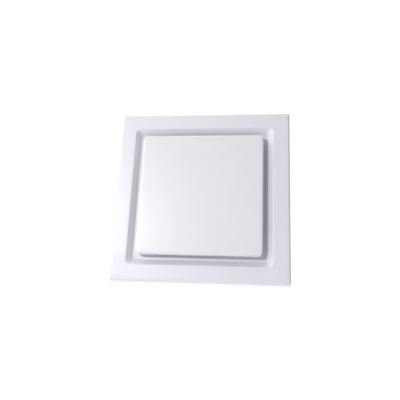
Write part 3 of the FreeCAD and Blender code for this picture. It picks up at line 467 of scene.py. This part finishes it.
# ------------------------------------------------------------------ spigot, flaps and housing
def spigot_moulding():
    """Lathed about Z: shoulder, wall with a raised bead that holds the duct and a chamfered
    mouth."""
    foot, ledge, bead, top = low("outlet_spigot", 2), 107.0, 136.0, SPIGOT_TOP
    profile = [(SPIGOT_BORE, foot), (SHOULDER, foot), (SHOULDER, ledge - 0.3),
               (SHOULDER - 0.3, ledge), (SPIGOT, ledge), (SPIGOT, bead - 1.8),
               (SPIGOT + 0.5, bead - 1.2), (SPIGOT + 0.9, bead - 0.2),
               (SPIGOT + 0.9, bead + 0.2), (SPIGOT + 0.5, bead + 1.2), (SPIGOT, bead + 1.8),
               (SPIGOT, top - 2.2), (SPIGOT - 0.2, top - 1.2), (SPIGOT - 0.7, top),
               (SPIGOT_BORE + 0.5, top), (SPIGOT_BORE, top - 0.6)]
    piece = mesh_piece("spigot_moulding", *lathe(profile, 128, (*DUCT, 0), "z"), "housing",
                       "grey_plastic", grey_abs)
    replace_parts(outward(piece), "outlet_spigot")


def flap_ribs(side, body):
    """Radial ribs on one flap's upper face, fanned out from the hinge."""
    shells = []
    for degrees in (-60, -30, 0, 30, 60):
        rib = soft_box((30, 1.2, 1.2), (23, 0, HINGE - 0.4), 0.35)
        shells.append(moved(rib, lambda p: spun(p, degrees) * [side, 1, 1]
                            + np.array([*DUCT, 0])))
    outward(mesh_piece("flap_ribs_" + body[7:], *joined(shells), body, "flap_plastic", flap_abs))


def wall_swages():
    """Long pressed beads, 0.8 mm high with tapered ends, that stiffen the housing's sheets:
    two on each side wall and a square on the rear wall."""
    def bead(start, stop, outwards):
        start, stop, outwards = (np.array(v, float) for v in (start, stop, outwards))
        along = (stop - start) / np.linalg.norm(stop - start)
        across = np.cross(outwards, along)
        reach = np.linalg.norm(stop - start)
        t = np.concatenate([np.linspace(0, 4, 8), np.linspace(reach - 4, reach, 8)])
        taper = np.sqrt(np.clip(1 - (1 - np.minimum(t, reach - t) / 4).clip(0) ** 2, 0.002, 1))
        bend = np.linspace(0, np.pi, 13)
        rows = [start + along * s + across * np.cos(b) * 3.2 * k
                + outwards * (np.sin(b) ** 1.5 * 0.9 * k - 0.1)
                for s, k in zip(t, taper) for b in bend]
        faces = grid_faces(len(t), len(bend), wrap_columns=True)
        last = (len(t) - 1) * len(bend)
        return rows, faces + [list(range(len(bend))), list(range(last, last + len(bend)))]

    shells = []
    for sx in (-1, 1):
        for z in (-52, 20):
            shells.append(bead((sx * BOX, 44, z), (sx * BOX, 118, z), (sx, 0, 0)))
    for z in (-84, 84):
        shells.append(bead((-70, BOX_BACK, z), (70, BOX_BACK, z), (0, 1, 0)))
    for x in (-84, 84):
        shells.append(bead((x, BOX_BACK, -30), (x, BOX_BACK, 70), (0, 1, 0)))
    shells.append(bead((-84, 62, -BOX), (84, 62, -BOX), (0, 0, -1)))
    outward(mesh_piece("wall_swages", *joined(shells), "housing", "galvanised_sheet", galvanised))


fascia_moulding()
front_plate()
guard_grille()
screws()
grommet_bush()
spigot_moulding()
flap_ribs(-1, "damper_left")
flap_ribs(1, "damper_right")
wall_swages()

# ------------------------------------------------------------------ camera, light and floor
ROOM_DIM, ROOM_LIGHT = 0.24, 2.7                    # strength of the light from the two sides
EYE = (0.0843, -0.6570, -0.1954)
AIM = ((0.992, 0.119, 0.043), (-0.008, -0.28, 0.96), (0.126, -0.953, -0.277))


def camera():
    """The viewing place: a little to the right of the fan and below it."""
    data = bpy.data.cameras.new("camera")
    data.lens, data.sensor_width = 42.9, 36.0
    data.clip_start, data.clip_end = 0.01, 20
    eye = bpy.data.objects.new("camera", data)
    basis = np.linalg.qr(np.array(AIM).T)[0]
    basis *= np.sign(np.sum(basis * np.array(AIM).T, axis=0))
    eye.matrix_world = Matrix.Translation(Vector(EYE)) @ Matrix(basis.tolist()).to_4x4()
    bpy.context.scene.collection.objects.link(eye)
    bpy.context.scene.camera = eye


def soft_light(name, towards, distance, size, power, colour):
    """A square studio light that shines along `towards` at the fan's front."""
    data = bpy.data.lights.new(name, "AREA")
    data.size, data.energy, data.color = size, power, linear(colour)[:3]
    lamp = bpy.data.objects.new(name, data)
    ray = Vector(towards).normalized()
    lamp.location = Vector((0, -0.014, 0)) - ray * distance
    lamp.rotation_euler = ray.to_track_quat("-Z", "Y").to_euler()
    bpy.context.scene.collection.objects.link(lamp)


def surroundings():
    """A plain white backdrop. The light it gives is softer at the lower right and from in
    front, so that the key light models the recess."""
    world = bpy.data.worlds.new("white studio")
    world.use_nodes = True
    tree = world.node_tree
    tree.nodes.clear()
    ray = add(tree, "ShaderNodeTexCoord").outputs["Generated"]

    def along(direction):
        node = add(tree, "ShaderNodeVectorMath", {"operation": "DOT_PRODUCT"})
        tree.links.new(ray, node.inputs[0])
        node.inputs[1].default_value = Vector(direction).normalized()
        return node.outputs["Value"]

    lit = along((-0.85, -0.10, 0.5))
    room = add(tree, "ShaderNodeMapRange", {"From Min": -1.0, "From Max": 1.0,
                                            "To Min": ROOM_DIM, "To Max": ROOM_LIGHT},
               Value=lit)
    share = add(tree, "ShaderNodeMapRange", {"From Min": -0.8, "From Max": 0.6}, Value=lit)
    behind_viewer = add(tree, "ShaderNodeMapRange", {
        "interpolation_type": "SMOOTHSTEP", "From Min": 0.25, "From Max": 0.8,
        "To Min": 1.0, "To Max": 0.0}, Value=along((0, -1, 0)))
    shaded = add(tree, "ShaderNodeMath", {"operation": "MULTIPLY"})
    tree.links.new(room.outputs["Result"], shaded.inputs[0])
    tree.links.new(behind_viewer.outputs["Result"], shaded.inputs[1])
    warmth = add(tree, "ShaderNodeMix", {"data_type": "RGBA"}, Factor=share.outputs["Result"])
    warmth.inputs[6].default_value = linear("#9DC0DC")
    warmth.inputs[7].default_value = linear("#FFFCFC")
    light = add(tree, "ShaderNodeBackground", Color=warmth.outputs[2],
                Strength=shaded.outputs["Value"])
    backdrop = add(tree, "ShaderNodeBackground", {"Color": (1, 1, 1, 1), "Strength": 1.05})
    seen = add(tree, "ShaderNodeLightPath").outputs["Is Camera Ray"]
    sky = add(tree, "ShaderNodeMixShader", Fac=seen)
    tree.links.new(light.outputs["Background"], sky.inputs[1])
    tree.links.new(backdrop.outputs["Background"], sky.inputs[2])
    add(tree, "ShaderNodeOutputWorld", Surface=sky.outputs["Shader"])
    bpy.context.scene.world = world


def studio():
    """White surroundings, one soft key light from the upper left and a pale floor below."""
    surroundings()
    bpy.context.scene.view_settings.view_transform = "Standard"
    soft_light("key light", (0.52, 1.0, -0.17), 1.1, 0.12, 6.7, "#FFF8F6")
    span, height = 1.6, -0.75
    mesh = bpy.data.meshes.new("floor")
    mesh.from_pydata([(-span, -span, height), (span, -span, height), (span, span, height),
                      (-span, span, height)], [], [(0, 1, 2, 3)])
    ground = bpy.data.objects.new("floor", mesh)
    bpy.context.scene.collection.objects.link(ground)
    ground.data.materials.append(surface("painted studio floor", "#E4E4E6", "#DFDFE2", 0.7,
                                         2.0, 0.02, blotch=200.0))


camera()
studio()
